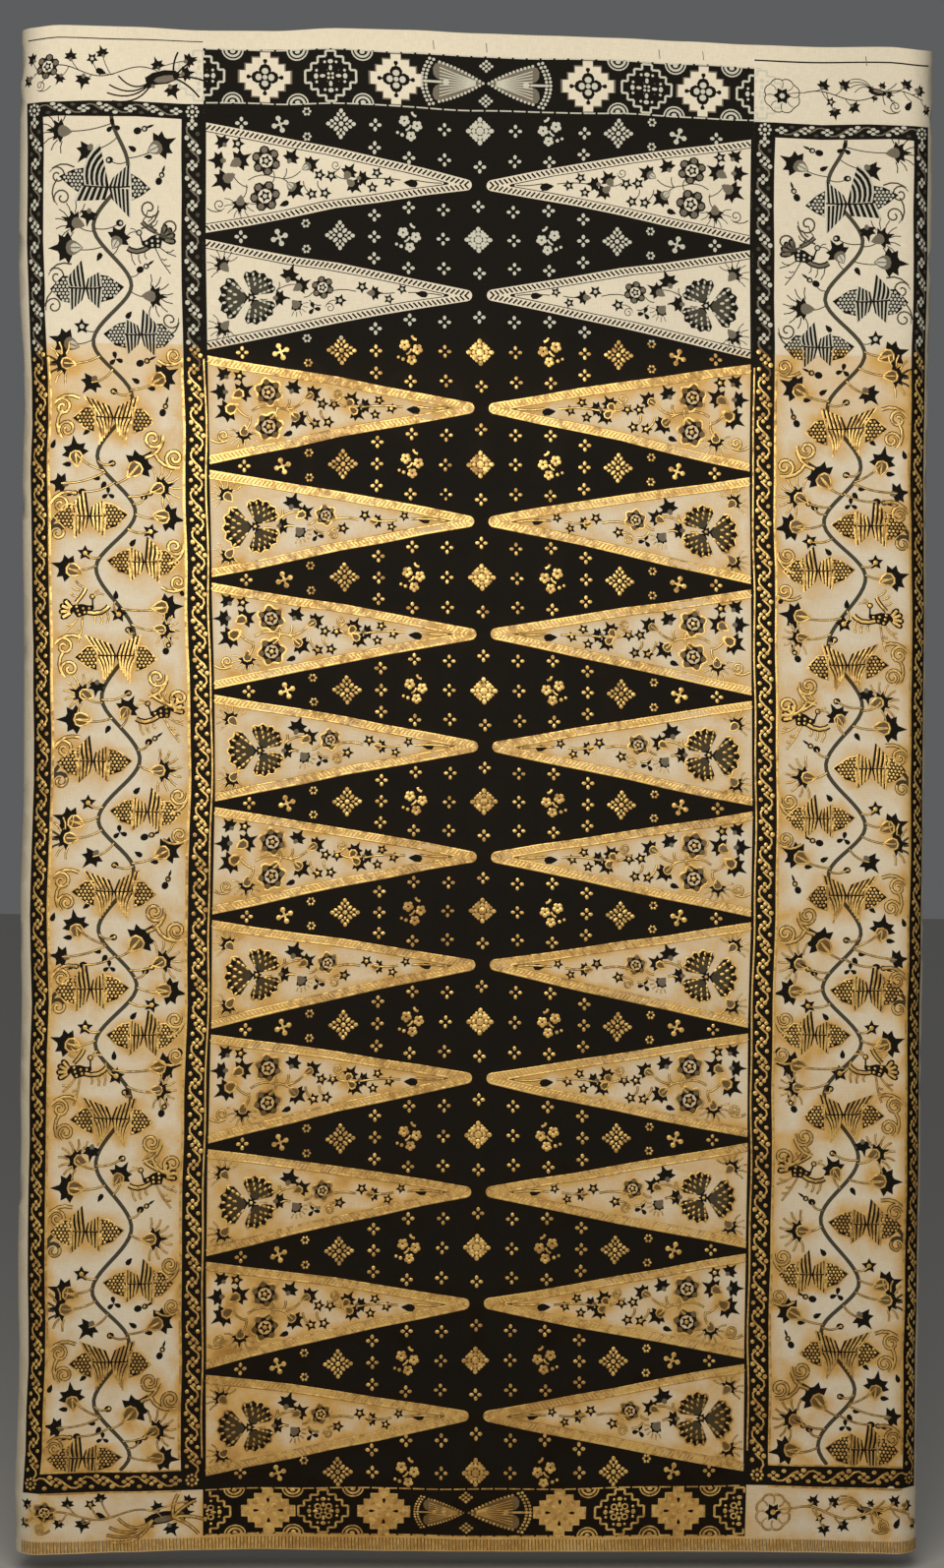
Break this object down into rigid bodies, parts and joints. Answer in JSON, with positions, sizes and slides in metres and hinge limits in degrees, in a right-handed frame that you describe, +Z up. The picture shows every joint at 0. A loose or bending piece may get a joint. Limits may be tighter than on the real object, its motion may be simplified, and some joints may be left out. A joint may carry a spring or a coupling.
{
  "type": "batik sarong cloth",
  "caption": "Gilded batik cotton cloth sewn into a flattened tube, hung face on with soft round sides, dyed with facing rows of long triangles between vine panels.",
  "frame": {"origin": "middle of the top edge, half way between the front and the back of the tube", "axes": "+Z up along the drop of the cloth, +X to the right across the front as seen face on, +Y from the front to the back"},
  "size_m": [0.6344, 0.0458, 1.0527],
  "materials": {
    "batik_cotton": "plain woven cotton, wax-resist dyed in ivory and brown-black, with glue stains",
    "gold_leaf": "thin crinkled gold leaf laid on glue, worn"
  },
  "bodies": {
    "root": {"cloth": "batik_cotton"}
  },
  "joints": []
}
